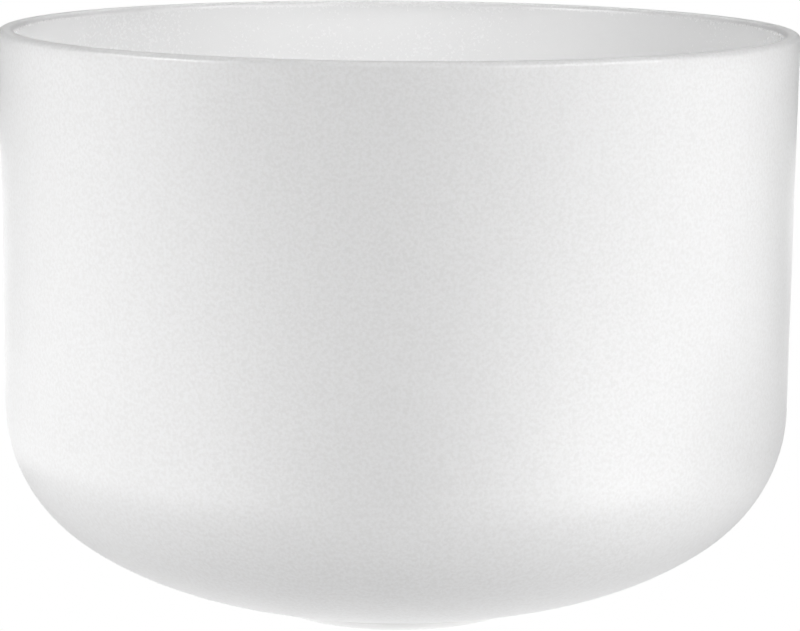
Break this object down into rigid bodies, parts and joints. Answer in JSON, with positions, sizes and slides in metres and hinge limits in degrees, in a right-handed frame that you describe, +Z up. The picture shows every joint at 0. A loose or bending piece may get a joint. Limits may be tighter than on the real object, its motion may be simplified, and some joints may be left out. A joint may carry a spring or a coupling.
{
  "type": "singing bowl",
  "caption": "Frosted quartz crystal singing bowl with upright walls and a rounded bottom, resting loose on a soft ring.",
  "frame": {"origin": "on the table, at the centre of the ring's underside, on the axis that the bowl and its ring share", "axes": "+Z up along the bowl's axis towards its open rim; the bowl is round, so +X and +Y are any two level directions at right angles"},
  "size_m": [0.305, 0.305, 0.2244],
  "materials": {
    "frosted_quartz": "frosted, sandy, milky white",
    "white_silicone": "smooth satin white"
  },
  "bodies": {
    "ring": {"rest_ring": "white_silicone"},
    "bowl": {"bowl": "frosted_quartz"}
  },
  "joints": [
    {"name": "bowl_lift", "type": "slide", "parent": "ring", "child": "bowl", "axis": [0, 0, 1], "range_m": [0, 0.08]}
  ]
}
